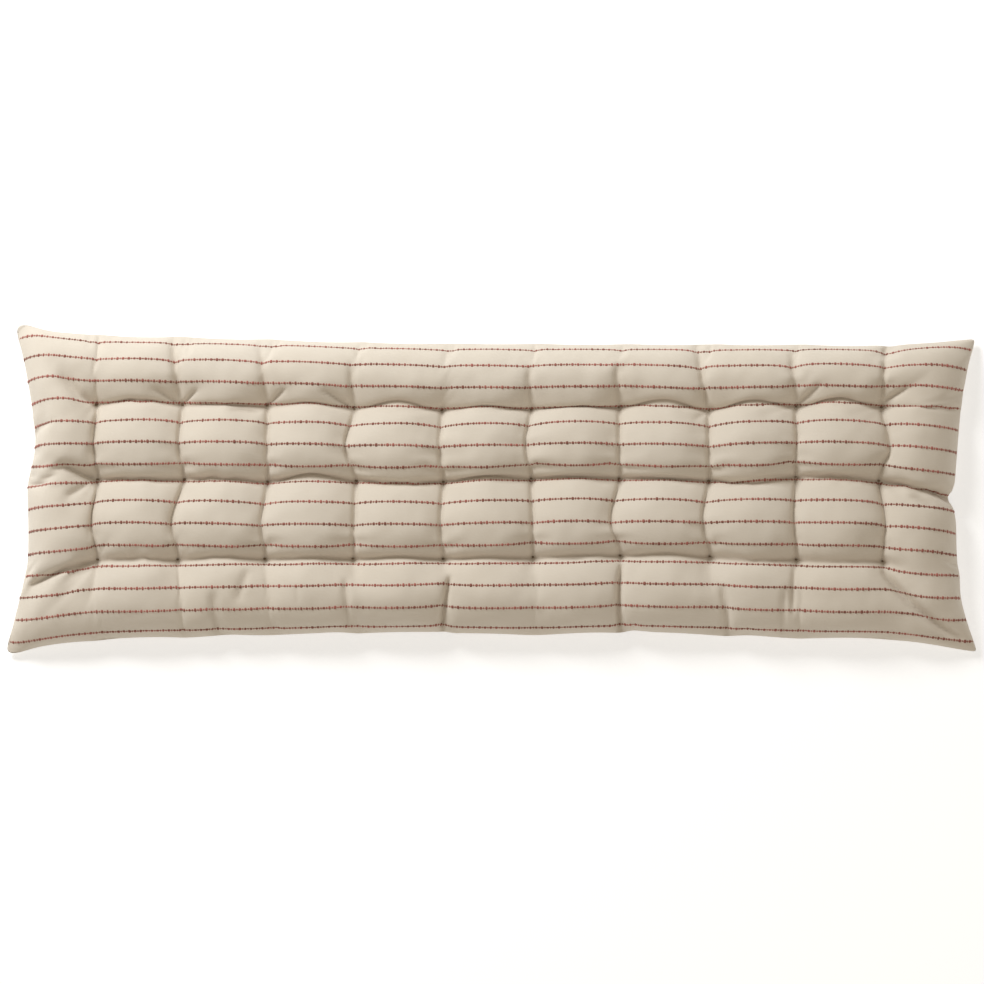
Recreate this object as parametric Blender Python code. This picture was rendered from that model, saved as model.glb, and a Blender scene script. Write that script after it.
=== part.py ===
"""Long tufted throw pillow: one filled cotton cushion with thirty tufts in three rows.

Metres, +Z up, +X along the pillow, +Y from its front long side to its back one.
The pillow lies on its back on the plane z = 0, with the middle of its box at x = y = 0.
Places on the cloth are counted in cells: a from 0 at the left seam to 11 at the right one,
and b from 0 at the front seam to 4 at the back one. Each inner whole number pair is a tuft.
"""

import math
from collections import namedtuple

import bmesh
import bpy
from mathutils import Vector

MM = 0.001

# Layout of the tufting
COLUMNS = 11
ROWS = 4
COLUMN_PITCH = 109.0 * MM
ROW_PITCH = 97.0 * MM

# Thickness of the filling, from face to face
TUFT_THICKNESS = 14.0 * MM
CROWN = 66.0 * MM
BORDER_CROWN = 61.0 * MM
CORNER_CROWN = 53.0 * MM
UNEVEN_FILLING = 0.05
UNEVEN_TURNS = (2.3, 4.1)

# Thickness half way along a channel between two tufts, or from a tuft to the seam
CHANNEL_ALONG = 31.0 * MM
CHANNEL_ACROSS = 37.0 * MM
CHANNEL_TO_SIDE = 32.0 * MM
CHANNEL_TO_END = 46.0 * MM

# Height of the middle of the filling above the floor, and how far the seams sink below it
MIDDLE_HEIGHT = 28.0 * MM
SIDE_DROOP = 12.0 * MM
CORNER_DROOP = 21.0 * MM

# Roundness of a cell's section: half the angle that its arc turns through
ARC_ALONG = math.radians(60)
ARC_ACROSS = math.radians(66)

# A crease leaves at least this share of the thickness, and fades in and out this sharply
CREASED_SHARE = 0.3
CREASE_FADE = 0.6

# Mesh steps in one cell, and how much finer they are beside a channel than on the crown
STEPS = 8
GRADING = 0.45
SEAM_WELD = 0.01 * MM

# Where each tuft lies off the even layout, in mm: dx and dy for every column of a row
Tufts = namedtuple("Tufts", "row dx dy")
TUFTS = (
    Tufts(1, (1, -9, -10, -10, -7, -5, -6, -4, -6, -8), (7, 7, 8, 8, 8, 10, 12, 11, 7, 5)),
    Tufts(2, (0, -1, -7, -6, -7, -7, -7, -5, -6, -12), (10, 10, 7, 8, 7, 11, 11, 8, 13, 8)),
    Tufts(3, (-2, -4, -8, -9, -9, -7, -7, -4, -5, -8), (6, 6, 5, 1, -1, 0, 3, -1, 4, 3)),
)

# The long seams: how far each column's place is from the middle line, in mm, ends included
Seam = namedtuple("Seam", "side away")
BACK_SEAM = Seam("back", (202, 193, 189, 187, 183, 182, 181, 181, 180, 179, 179, 188))
FRONT_SEAM = Seam("front", (202, 189, 185, 183, 180, 178, 183, 178, 183, 188, 189, 203))

# The short seams: how far each half row's place is from the middle, in mm, front to back
LEFT_SEAM = Seam("left", (600, 590, 577, 576, 577, 569, 573, 582, 592))
RIGHT_SEAM = Seam("right", (600, 586, 579, 574, 575, 579, 582, 590, 600))

# How far the pads push each channel aside half way along it, in mm. A channel in a row of
# tufts has a bulge for each cell from left to right, and is pushed to the back. One in a
# column has a bulge for each cell from front to back, and is pushed to the right.
Channel = namedtuple("Channel", "line bulges")
ROW_CHANNELS = (
    Channel(1, (0, 2, 3, 1, 2, 1, 2, 3, -2, -1, 0)),
    Channel(2, (0, -1, 2, 8, -4, 4, 1, 1, -6, 1, 0)),
    Channel(3, (0, 5, 0, 4, 9, 4, 1, 11, 9, 9, 2)),
)
COLUMN_CHANNELS = (
    Channel(1, (0, -7, -4, 0)),
    Channel(2, (0, -10, -4, -3)),
    Channel(3, (0, -5, 0, -2)),
    Channel(4, (0, 0, -10, -2)),
    Channel(5, (0, -3, -3, -1)),
    Channel(6, (0, 1, -6, -1)),
    Channel(7, (0, -10, 0, -2)),
    Channel(8, (0, -7, 0, -3)),
    Channel(9, (0, -3, 1, -2)),
    Channel(10, (0, 5, 10, 2)),
)

# Puckers, where a crease draws the seam in: its place in cells, and its depth and width in mm
Pucker = namedtuple("Pucker", "side place depth width")
PUCKERS = (
    Pucker("front", 2.5, 5, 10),
    Pucker("front", 3.75, 3, 9),
    Pucker("front", 4.95, 3, 10),
    Pucker("front", 7.1, 5, 11),
    Pucker("front", 8.4, 4, 9),
    Pucker("back", 10.05, 4, 8),
    Pucker("back", 7.85, 2, 9),
    Pucker("right", 1.85, 9, 9),
    Pucker("right", 0.68, 5, 8),
    Pucker("left", 0.68, 3, 9),
    Pucker("left", 2.66, 3, 8),
)

# Creases pressed into both faces, from a tuft towards a seam: ends in cells, size in mm
Crease = namedtuple("Crease", "a0 b0 a1 b1 depth width")
CREASES = (
    Crease(3.0, 1.0, 2.5, 0.0, 11, 9),
    Crease(4.0, 1.0, 3.7, 0.0, 9, 8),
    Crease(5.05, 0.9, 4.95, 0.0, 12, 8),
    Crease(7.0, 1.0, 7.0, 0.0, 12, 8),
    Crease(8.0, 1.0, 8.3, 0.0, 10, 9),
    Crease(9.0, 1.0, 8.9, 0.0, 9, 7),
    Crease(10.0, 1.0, 10.9, 0.3, 6, 14),
    Crease(1.0, 1.0, 0.05, 0.66, 12, 9),
    Crease(1.0, 2.0, 0.3, 2.22, 10, 9),
    Crease(1.0, 3.0, 0.5, 3.4, 9, 9),
    Crease(0.5, 2.85, 0.0, 2.65, 6, 8),
    Crease(10.0, 2.0, 10.95, 1.83, 12, 9),
    Crease(10.0, 3.0, 10.05, 4.0, 9, 8),
    Crease(10.0, 3.0, 10.4, 3.35, 7, 9),
    Crease(8.0, 3.0, 7.83, 4.0, 8, 8),
    Crease(2.0, 3.0, 1.9, 4.0, 6, 8),
)

NATURAL_COTTON = (0.72, 0.66, 0.56, 1.0)


def clear_scene():
    for old in list(bpy.data.objects):
        bpy.data.objects.remove(old)


def catmull_rom(values, t):
    """A smooth curve through evenly spaced values, read at place t."""
    last = len(values) - 1
    i = min(int(t), last - 1)
    f = t - i
    p1, p2 = values[i], values[i + 1]
    p0 = values[i - 1] if i > 0 else 2 * p1 - p2
    p3 = values[i + 2] if i + 2 <= last else 2 * p2 - p1
    bend = 2 * p0 - 5 * p1 + 4 * p2 - p3
    twist = 3 * (p1 - p2) + p3 - p0
    return p1 + 0.5 * f * ((p2 - p0) + f * (bend + f * twist))


def tuft_net():
    """X and Y of every crossing of the layout, in rows from the front seam to the back one."""
    xs, ys = [], []
    left, right = LEFT_SEAM.away[::2], RIGHT_SEAM.away[::2]
    for row in range(ROWS + 1):
        inner = [(column - COLUMNS / 2) * COLUMN_PITCH for column in range(1, COLUMNS)]
        line = [(row - ROWS / 2) * ROW_PITCH] * (COLUMNS + 1)
        for tufts in TUFTS:
            if tufts.row == row:
                inner = [x + dx * MM for x, dx in zip(inner, tufts.dx)]
                shifts = (tufts.dy[0], *tufts.dy, tufts.dy[-1])
                line = [y + dy * MM for y, dy in zip(line, shifts)]
        if row == 0:
            line = [-away * MM for away in FRONT_SEAM.away]
        if row == ROWS:
            line = [away * MM for away in BACK_SEAM.away]
        xs.append([-left[row] * MM, *inner, right[row] * MM])
        ys.append(line)
    return xs, ys


NET_X, NET_Y = tuft_net()


def read_net(net, a, b):
    return catmull_rom([catmull_rom(line, a) for line in net], b)


def pucker_depth(side, place, pitch):
    """How far the puckers of one side draw its seam in at this place."""
    total = 0.0
    for pucker in PUCKERS:
        if pucker.side == side:
            away = (place - pucker.place) * pitch / (pucker.width * MM)
            total += pucker.depth * MM * math.exp(-away * away)
    return total


def pushed_aside(channels, line, along):
    """How far the pads push the cloth aside at this place beside the channels of one way."""
    cell = min(int(along), len(channels[0].bulges) - 1)
    half_way = math.sin(math.pi * (along - cell)) ** 2
    total = 0.0
    for channel in channels:
        beside = max(0.0, 1.0 - 2 * abs(line - channel.line)) ** 2
        total += channel.bulges[cell] * MM * beside * half_way
    return total


def fading(cells):
    """1 at a seam, falling smoothly to 0 one cell away from it."""
    return max(0.0, 1.0 - cells) ** 2


def plan(a, b):
    """Where this place of the cloth lies, seen from above."""
    x, y = read_net(NET_X, a, b), read_net(NET_Y, a, b)
    left = -catmull_rom(LEFT_SEAM.away, 2 * b) * MM - read_net(NET_X, 0, b)
    right = catmull_rom(RIGHT_SEAM.away, 2 * b) * MM - read_net(NET_X, COLUMNS, b)
    x += fading(a) * (left + pucker_depth("left", b, ROW_PITCH))
    x += fading(COLUMNS - a) * (right - pucker_depth("right", b, ROW_PITCH))
    y += fading(b) * pucker_depth("front", a, COLUMN_PITCH)
    y -= fading(ROWS - b) * pucker_depth("back", a, COLUMN_PITCH)
    x += pushed_aside(COLUMN_CHANNELS, a, b)
    y += pushed_aside(ROW_CHANNELS, b, a)
    return x, y


def arch(f, half_angle):
    """An arc of a circle over 0 to 1, which is 0 at both ends and 1 in the middle."""
    low = math.cos(half_angle)
    high = math.sqrt(max(0.0, 1 - (math.sin(half_angle) * (2 * f - 1)) ** 2))
    return (high - low) / (1 - low)


def smooth(f):
    return f * f * (3 - 2 * f)


def blend(start, end, f):
    return start + (end - start) * smooth(f)


def on_seam(a, b):
    return a in (0, COLUMNS) or b in (0, ROWS)


def tuft_thickness(a, b):
    return 0.0 if on_seam(a, b) else TUFT_THICKNESS


def channel_rise(a0, b0, a1, b1):
    """How much thicker a channel is half way along than the mean of its two ends."""
    ends = (tuft_thickness(a0, b0) + tuft_thickness(a1, b1)) / 2
    if on_seam(a0, b0) and on_seam(a1, b1):
        return 0.0
    if on_seam(a0, b0) or on_seam(a1, b1):
        return (CHANNEL_TO_SIDE if b0 == b1 else CHANNEL_TO_END) - ends
    return (CHANNEL_ALONG if b0 == b1 else CHANNEL_ACROSS) - ends


def crown(column, row):
    """Thickness in the middle of a cell, a little uneven from one cell to the next."""
    at_end = column in (0, COLUMNS - 1)
    at_side = row in (0, ROWS - 1)
    full = CORNER_CROWN if at_end and at_side else BORDER_CROWN if at_end or at_side else CROWN
    turn = UNEVEN_TURNS[0] * column + UNEVEN_TURNS[1] * row
    return full * (1 + UNEVEN_FILLING * math.sin(turn))


def crease_depth(a, b):
    """How far the creases press in here. Each fades in from its tuft and out at its end."""
    deepest = 0.0
    for crease in CREASES:
        start = Vector((crease.a0 * COLUMN_PITCH, crease.b0 * ROW_PITCH))
        run = Vector((crease.a1 * COLUMN_PITCH, crease.b1 * ROW_PITCH)) - start
        here = Vector((a * COLUMN_PITCH, b * ROW_PITCH)) - start
        along = here.dot(run) / run.length_squared
        if 0 < along < 1:
            away = abs(here.cross(run)) / run.length / (crease.width * MM)
            fade = math.sin(math.pi * along) ** CREASE_FADE
            deepest = max(deepest, crease.depth * MM * fade * math.exp(-away * away))
    return deepest


def thickness(a, b):
    """Thickness of the filled cloth here: crowned cells between channels and tufts."""
    column, row = min(int(a), COLUMNS - 1), min(int(b), ROWS - 1)
    p, q = a - column, b - row
    across, along = arch(p, ARC_ALONG), arch(q, ARC_ACROSS)
    near = blend(tuft_thickness(column, row), tuft_thickness(column + 1, row), p)
    far = blend(tuft_thickness(column, row + 1), tuft_thickness(column + 1, row + 1), p)
    corners = blend(near, far, q)
    front = channel_rise(column, row, column + 1, row)
    back = channel_rise(column, row + 1, column + 1, row + 1)
    left = channel_rise(column, row, column, row + 1)
    right = channel_rise(column + 1, row, column + 1, row + 1)
    lengthwise = blend(front, back, q) * math.sin(math.pi * p) * (1 - along)
    crosswise = blend(left, right, p) * math.sin(math.pi * q) * (1 - across)
    filled = corners * (1 - across * along) + crown(column, row) * across * along
    full = filled + lengthwise + crosswise
    return max(CREASED_SHARE * full, full - 2 * crease_depth(a, b))


def middle_height(a, b):
    """Height of the middle of the filling, which sinks towards the seams and corners."""
    to_end = fading(min(a, COLUMNS - a))
    to_side = fading(min(b, ROWS - b))
    corner = to_end * to_side
    side = to_end + to_side - corner
    return MIDDLE_HEIGHT - SIDE_DROOP * side - (CORNER_DROOP - SIDE_DROOP) * corner


def graded(step, steps):
    """Place in cells of a mesh line, closer to its neighbours beside a channel."""
    cell, f = divmod(step, steps)
    f /= steps
    return cell + f - GRADING * math.sin(2 * math.pi * f) / (2 * math.pi)


def add_panel(bm, side):
    """One face of the cover: side is 1 for the upper panel and -1 for the one below."""
    wide, deep = COLUMNS * STEPS, ROWS * STEPS
    made = bmesh.ops.create_grid(bm, x_segments=wide, y_segments=deep, size=0.5)
    for vert in made["verts"]:
        a = graded(round((vert.co.x + 0.5) * wide), STEPS)
        b = graded(round((vert.co.y + 0.5) * deep), STEPS)
        x, y = plan(a, b)
        z = middle_height(a, b) + side * thickness(a, b) / 2
        vert.co = (x, y, max(0.0, z))
    if side < 0:
        faces = {face for vert in made["verts"] for face in vert.link_faces}
        bmesh.ops.reverse_faces(bm, faces=list(faces))


def centre_on_box(bm):
    """Moves the pillow so that the middle of its box is over the origin."""
    for axis in (0, 1):
        places = [vert.co[axis] for vert in bm.verts]
        middle = (min(places) + max(places)) / 2
        for vert in bm.verts:
            vert.co[axis] -= middle


def cotton():
    material = bpy.data.materials.new("natural_cotton")
    material.use_nodes = True
    shader = material.node_tree.nodes["Principled BSDF"]
    shader.inputs["Base Color"].default_value = NATURAL_COTTON
    shader.inputs["Roughness"].default_value = 0.9
    shader.inputs["Metallic"].default_value = 0.0
    return material


def make_cushion(collection):
    """The filled cover: two panels sewn round their edges and drawn together at the tufts."""
    bm = bmesh.new()
    add_panel(bm, 1)
    add_panel(bm, -1)
    bmesh.ops.remove_doubles(bm, verts=bm.verts, dist=SEAM_WELD)
    centre_on_box(bm)
    mesh = bpy.data.meshes.new("cushion")
    bm.to_mesh(mesh)
    bm.free()
    mesh.shade_smooth()
    mesh.materials.append(cotton())
    cushion = bpy.data.objects.new("cushion", mesh)
    collection.objects.link(cushion)
    return cushion


def main():
    clear_scene()
    collection = bpy.data.collections.new("long_throw_pillow")
    bpy.context.scene.collection.children.link(collection)
    make_cushion(collection)


main()
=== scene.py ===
"""Looks of the long tufted throw pillow: simulated cotton cover, woven stripes, tuft stitches.

Metres, +Z up, +X along the pillow, +Y to its back long side, resting on z = 0.
Places on the cover are counted in cells between tufts: a runs 0 to 11 from the left seam to
the right one, and b runs 0 to 4 from the front seam to the back one. The UV map "cloth" is
the flat cloth in metres: u from the left seam and v from the front seam.
"""

import math
from collections import namedtuple

import bpy
import numpy as np
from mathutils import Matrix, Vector, noise


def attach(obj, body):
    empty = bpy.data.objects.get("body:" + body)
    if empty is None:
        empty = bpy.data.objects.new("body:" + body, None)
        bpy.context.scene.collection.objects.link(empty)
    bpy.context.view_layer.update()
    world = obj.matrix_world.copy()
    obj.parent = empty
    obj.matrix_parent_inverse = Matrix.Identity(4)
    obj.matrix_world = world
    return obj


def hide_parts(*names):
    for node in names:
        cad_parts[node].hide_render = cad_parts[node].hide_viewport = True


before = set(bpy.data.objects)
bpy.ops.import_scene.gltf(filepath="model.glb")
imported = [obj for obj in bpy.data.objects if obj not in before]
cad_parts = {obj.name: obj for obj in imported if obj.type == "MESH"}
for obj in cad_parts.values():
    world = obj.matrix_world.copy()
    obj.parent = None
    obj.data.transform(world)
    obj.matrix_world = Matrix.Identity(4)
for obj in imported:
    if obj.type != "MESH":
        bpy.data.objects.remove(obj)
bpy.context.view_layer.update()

MM = 0.001

# Layout of the tufting
COLUMNS = 11
ROWS = 4
COLUMN_PITCH = 109.0 * MM
ROW_PITCH = 97.0 * MM

# The flat cloth: its length, the step from stripe to stripe, and each row of tufts in steps
CLOTH_LENGTH = 1235.0 * MM
STRIPE_PITCH = 28.6 * MM
ROWS_IN_STRIPES = (0.0, 3.72, 7.57, 11.37, 15.05)
FIRST_STRIPE = 0.47
STRIPES = 15
CLOTH_WIDTH = ROWS_IN_STRIPES[-1] * STRIPE_PITCH

# Thickness of the cover before it is filled, from face to face
TUFT_THICKNESS = 9.0 * MM
CROWN = 61.0 * MM
BORDER_CROWN = 57.0 * MM
CORNER_CROWN = 50.0 * MM
LEAST_HALF = 3.0 * MM
UNEVEN_FILLING = 0.05
CHANNEL_ALONG = 29.0 * MM
CHANNEL_ACROSS = 30.0 * MM
CHANNEL_TO_SIDE = 49.0 * MM
CHANNEL_TO_END = 52.0 * MM
ARC_ALONG = math.radians(66)
ARC_ACROSS = math.radians(70)

# Height of the middle of the filling above the floor, and how far the seams sink below it
MIDDLE_HEIGHT = 26.0 * MM
SIDE_DROOP = 11.0 * MM
CORNER_DROOP = 19.5 * MM

# How far each row of tufts lies off the even layout, in mm: the same way for every column from
# left to right, dx along the pillow and dy to the back, and where it meets the two end seams
Tufts = namedtuple("Tufts", "row dx dy left_end right_end")
TUFTS = (
    Tufts(
        row=1,
        dx=(1, -9, -10, -10, -7, -5, -6, -4, -6, -8),
        dy=(7, 7, 8, 8, 8, 10, 12, 11, 7, 5),
        left_end=-6,
        right_end=-6,
    ),
    Tufts(
        row=2,
        dx=(0, -1, -7, -6, -7, -7, -7, -5, -6, -12),
        dy=(10, 10, 7, 8, 7, 11, 11, 8, 13, 8),
        left_end=5,
        right_end=-4,
    ),
    Tufts(
        row=3,
        dx=(-2, -4, -8, -9, -9, -7, -7, -4, -5, -8),
        dy=(6, 6, 5, 1, -1, 0, 3, -1, 4, 3),
        left_end=4,
        right_end=1,
    ),
)

# How far the filling of each row of pads has sunk to the front, in mm, and the sideways pull
# that keeps it there, in metres per second squared
SUNK = (2.0, 4.5, 4.5, 0.0)
SIDEWAYS_PULL = 55.0

# How far the seams are from the middle, in mm: long ones for each column's place, ends
# included, and short ones for each half row's place, from front to back
Seam = namedtuple("Seam", "side away")
BACK_SEAM = Seam("back", (203, 195, 191, 188, 185, 184, 183, 182, 182, 181, 180, 188))
FRONT_SEAM = Seam("front", (202, 192, 188, 185, 182, 181, 186, 181, 186, 190, 191, 203))
LEFT_SEAM = Seam("left", (601, 593, 579, 577, 578, 570, 573, 582, 592))
RIGHT_SEAM = Seam("right", (600, 587, 580, 579, 575, 581, 584, 593, 601))

# How far the pads push each channel aside half way along it, in mm. A channel in a row of
# tufts has a bulge for each cell from left to right, and is pushed to the back. One in a
# column has a bulge for each cell from front to back, and is pushed to the right.
Channel = namedtuple("Channel", "line bulges")
ROW_CHANNELS = (
    Channel(1, (0, 2, 3, 1, 2, 1, 2, 3, -2, -1, 0)),
    Channel(2, (0, -1, 2, 8, -4, 4, 1, 1, -6, 1, 0)),
    Channel(3, (0, 5, 0, 4, 9, 4, 1, 11, 9, 9, 2)),
)
COLUMN_CHANNELS = (
    Channel(1, (0, -7, -4, 0)),
    Channel(2, (0, -10, -4, -3)),
    Channel(3, (0, -5, 0, -2)),
    Channel(4, (0, 0, -10, -2)),
    Channel(5, (0, -3, -3, -1)),
    Channel(6, (0, 1, -6, -1)),
    Channel(7, (0, -10, 0, -2)),
    Channel(8, (0, -7, 0, -3)),
    Channel(9, (0, -3, 1, -2)),
    Channel(10, (0, 5, 10, 2)),
)

# How far the cloth slides under a channel that is pushed aside, as a share of the push, and
# how many times its place is worked out again
SLIDES = 1.25
SLIDE_PASSES = 12

# Puckers, where a crease draws the seam in: its place in cells, and its depth and width in
# mm. One with a negative depth pushes the seam out, which makes a corner blunt.
Pucker = namedtuple("Pucker", "side place depth width")
PUCKERS = (
    Pucker("front", 2.5, 5, 10),
    Pucker("front", 3.75, 3, 9),
    Pucker("front", 4.95, 3, 10),
    Pucker("front", 7.1, 5, 11),
    Pucker("front", 8.4, 4, 9),
    Pucker("front", 0.1, -5, 10),
    Pucker("left", 0.1, -2.5, 10),
    Pucker("back", 0.12, -5, 10),
    Pucker("back", 7.85, 2, 9),
    Pucker("back", 10.05, 4, 8),
    Pucker("right", 1.92, 14, 9),
    Pucker("right", 0.68, 5, 8),
    Pucker("left", 0.68, 3, 9),
    Pucker("left", 2.66, 3, 8),
    Pucker("left", 3.88, -4, 10),
)

# Creases in the cloth, from a tuft or a seam. Their ends are in mm from the middle of the
# pillow, bow is how far the middle of one lies to its left, and the rest is in mm too. They
# fade in and out over these shares of their length.
CREASE_FADES_IN = 0.2
CREASE_FADES_OUT = 0.25
Crease = namedtuple("Crease", "x0 y0 x1 y1 bow depth width")
CREASES = (
    Crease(-421, 122, -387, 103, 0, 8, 6),
    Crease(-366, 121, -385, 103, 0, 7, 4),
    Crease(-258, 121, -277, 104, 0, 8, 4),
    Crease(-212, 120, -173, 98, 0, 9, 5),
    Crease(406, 127, 377, 102, 0, 8, 5),
    Crease(513, 123, 485, 106, 0, 8, 5),
    Crease(-535, 139, -491, 101, -4, 7, 8),
    Crease(263, 91, 248, 82, 0, 4, 5),
    Crease(-326, 95, -288, 92, 0, 5, 5),
    Crease(-473, -91, -431, -92, 0, 5, 6),
    Crease(73, -91, 120, -89, 0, 5, 6),
    Crease(-575, 68, -542, 82, 0, 6, 6),
    Crease(-488, 8, -536, 28, 0, 13, 7),
    Crease(-500, 3, -528, -14, 0, 5, 7),
    Crease(-486, -91, -575, -125, -4, 16, 7),
    Crease(476, 7, 567, -15, 3, 14, 7),
    Crease(515, -12, 543, -25, 0, 6, 7),
    Crease(480, -104, 582, -188, -8, 15, 8),
    Crease(-345, -132, -341, -186, -1, 10, 8),
    Crease(-303, -104, -317, -145, 0, 6, 8),
    Crease(-243, -125, -242, -147, 0, 3, 6),
    Crease(-183, -116, -179, -172, 0, 6, 7),
    Crease(-53, -112, -64, -184, -1, 15, 6),
    Crease(159, -96, 158, -186, -3, 15, 6),
    Crease(282, -124, 289, -186, 3, 8, 8),
    Crease(373, -98, 370, -160, -1, 6, 6),
    Crease(359, -128, 357, -188, 0, 5, 6),
    Crease(-387, 100, -400, 190, 0, 9, 8),
    Crease(-279, 98, -292, 185, 0, 5, 8),
    Crease(-172, 95, -177, 150, 0, 6, 8),
    Crease(47, 94, 44, 150, 0, 5, 8),
    Crease(156, 96, 153, 150, 0, 6, 8),
    Crease(266, 90, 251, 185, -1, 10, 7),
    Crease(377, 98, 370, 168, 0, 6, 8),
    Crease(481, 97, 491, 190, 1, 10, 7),
)

# The cover's mesh: steps in a cell when it is filled, how much closer they lie at a channel,
# and how many times finer the finished cover is
STEPS = 16
GRADING = 0.45
FINER = 2

# Filling the cover: pressure, frames, and how firmly each part is held. A channel starts at this
# share of the outer cells and is full after its fade. A corner reaches this far along its seams.
FILLING_PRESSURE = 1000.0
FILLING_FRAMES = 22
HELD = {"tuft": 1.0, "corner": 1.0, "seam": 0.9, "channel": 0.66, "crease": 0.66, "pad": 0.45}
CHANNEL_REACH = 8.0 * MM
CHANNEL_STARTS = 0.9
CHANNEL_FADE = 0.1
CORNER_REACH = 22.0 * MM

# Smoothing the filled cover: passes over the panels and the seam, and what a corner keeps of
# its own place
SMOOTHING = 2
SEAM_SMOOTHING = 4
CORNER_KEEPS = 0.4

# Sharpening the finished cover: how much deeper the bottoms of the channels and tufts are
# drawn in, over what reach, and the same for a crease, as shares of its depth and width. The
# two panels keep half of this gap each.
ROW_BITE = 2.5 * MM
ROW_BITE_REACH = 4.5 * MM
COLUMN_BITE = 5.0 * MM
COLUMN_BITE_REACH = 2.9 * MM
TUFT_BITE = 6.0 * MM
TUFT_BITE_REACH = 3.5 * MM
CREASE_BITE = 0.5
CREASE_BITE_REACH = 0.5
CLOTH_GAP = 1.2 * MM

# How far the underside bends into the flat
FLATTENED_OVER = 3.0 * MM

# Painted shade in the bottoms of channels, creases and tuft pits, which darkens the cotton's
# colour there in place of their shadow: its reach, and the painted shade of each kind next to
# that of a row's channel
PAINTED_SHADE_REACH = 2.5 * MM
CREASE_PAINTED_SHADE_REACH = 0.35
COLUMN_PAINTED_SHADE = 0.3
CREASE_PAINTED_SHADE = 0.3
TUFT_PAINTED_SHADE = 2.2

# Small wrinkles of the cloth: how many to a metre each way, and their depth in mm
Wrinkle = namedtuple("Wrinkle", "along across depth")
WRINKLES = (Wrinkle(24, 32, 2.0), Wrinkle(66, 54, 0.7))

# Colours of the cloth, its stripes and its thread. The cloth beside a stripe takes a stain, which
# is gone when its distance times this number is one step of the stripes. The last two say how
# much of the cotton's colour the stain and the painted shade in a row's channel cover. The
# deep brown shade colour is painted shade, in place of the shadow in channels, creases and
# tuft pits.
COTTON_LIGHT = (0.755, 0.712, 0.642, 1.0)
COTTON_DARK = (0.70, 0.635, 0.535, 1.0)
# Painted shade: the colour that the bottoms of channels, creases and tuft pits are darkened
# toward, in place of their shadow
PAINTED_FOLD_SHADE = (0.28, 0.195, 0.12, 1.0)
STRIPE_STAIN = (0.55, 0.30, 0.23, 1.0)
YARN_LIGHT = (0.64, 0.40, 0.33, 1.0)
YARN_DARK = (0.51, 0.30, 0.23, 1.0)
KNOT_LIGHT = (0.44, 0.155, 0.13, 1.0)
KNOT_DARK = (0.21, 0.09, 0.065, 1.0)
# Painted shade: the stitch thread is coloured dark to stand in for the shadow of its tuft's pit
PIT_SHADED_THREAD_LIGHT = (0.25, 0.185, 0.12, 1.0)
PIT_SHADED_THREAD_DARK = (0.17, 0.12, 0.075, 1.0)
STAIN_FADES = 15.0
STAIN_COVERS = 0.35
PAINTED_SHADE_COVERS = 0.4

# Step of the weave's own yarns
WEAVE_PITCH = 0.9 * MM

# Stripes: a yarn's width and height, the places along it and what it leaves free at its ends.
# Knots are given by length, width and height, at an even step that shifts from stripe to
# stripe by a share of it. A small tick lies half way between two.
YARN_WIDTH = 1.3 * MM
YARN_HEIGHT = 0.4 * MM
YARN_PLACES = 420
YARN_MARGIN = 4.0 * MM
KNOT_STEP = 7.1 * MM
KNOT_SHIFT = 0.37
KNOT_MARGIN = 3.0 * MM
KNOT = (3.7 * MM, 4.3 * MM, 2.0 * MM)
TICK = (2.0 * MM, 2.9 * MM, 1.4 * MM)

# Length, width and height of a tuft's stitch, and how far its middle lies above the pit
STITCH = (3.4 * MM, 2.4 * MM, 1.6 * MM)
STITCH_RISE = 0.6 * MM

# The camera looks from the front side, this far off the perpendicular
CAMERA_TILT = math.radians(6.0)
CAMERA_DISTANCE = 7.0
CAMERA_LENS = 206.57
LOOKS_AT = Vector((-0.0011, -0.006, 0.028))


# Cover: layout


def catmull_rom(values, t):
    """A smooth curve through evenly spaced values along the first axis, read at places t."""
    values = np.asarray(values, float)
    last = len(values) - 1
    i = np.clip(t.astype(int), 0, last - 1)
    f = (t - i).reshape(t.shape + (1,) * (values.ndim - 1))
    before, after = 2 * values[:1] - values[1:2], 2 * values[-1:] - values[-2:-1]
    held = np.concatenate([before, values, after])
    p0, p1, p2, p3 = held[i], held[i + 1], held[i + 2], held[i + 3]
    bend = 2 * p0 - 5 * p1 + 4 * p2 - p3
    twist = 3 * (p1 - p2) + p3 - p0
    return p1 + 0.5 * f * ((p2 - p0) + f * (bend + f * twist))


def tuft_net():
    """X and Y of every crossing of the layout, in rows from the front seam to the back one."""
    crossings = np.empty((ROWS + 1, COLUMNS + 1, 2))
    for row in range(ROWS + 1):
        crossings[row, :, 0] = (np.arange(COLUMNS + 1) - COLUMNS / 2) * COLUMN_PITCH
        crossings[row, :, 1] = (row - ROWS / 2) * ROW_PITCH
        crossings[row, 0, 0] = -LEFT_SEAM.away[2 * row] * MM
        crossings[row, -1, 0] = RIGHT_SEAM.away[2 * row] * MM
    for tufts in TUFTS:
        crossings[tufts.row, 1:-1, 0] += np.array(tufts.dx) * MM
        across = (tufts.left_end, *tufts.dy, tufts.right_end)
        crossings[tufts.row, :, 1] += np.array(across) * MM
    crossings[0, :, 1] = -np.array(FRONT_SEAM.away) * MM
    crossings[-1, :, 1] = np.array(BACK_SEAM.away) * MM
    return crossings


def pucker_depth(side, place, pitch):
    """How far the puckers of one side draw its seam in at these places."""
    total = np.zeros_like(place)
    for pucker in PUCKERS:
        if pucker.side == side:
            away = (place - pucker.place) * pitch / (pucker.width * MM)
            total += pucker.depth * MM * np.exp(-away * away)
    return total


def fading(cells):
    """1 at a seam, falling smoothly to 0 one cell away from it."""
    return np.clip(1.0 - cells, 0.0, 1.0) ** 2


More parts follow.
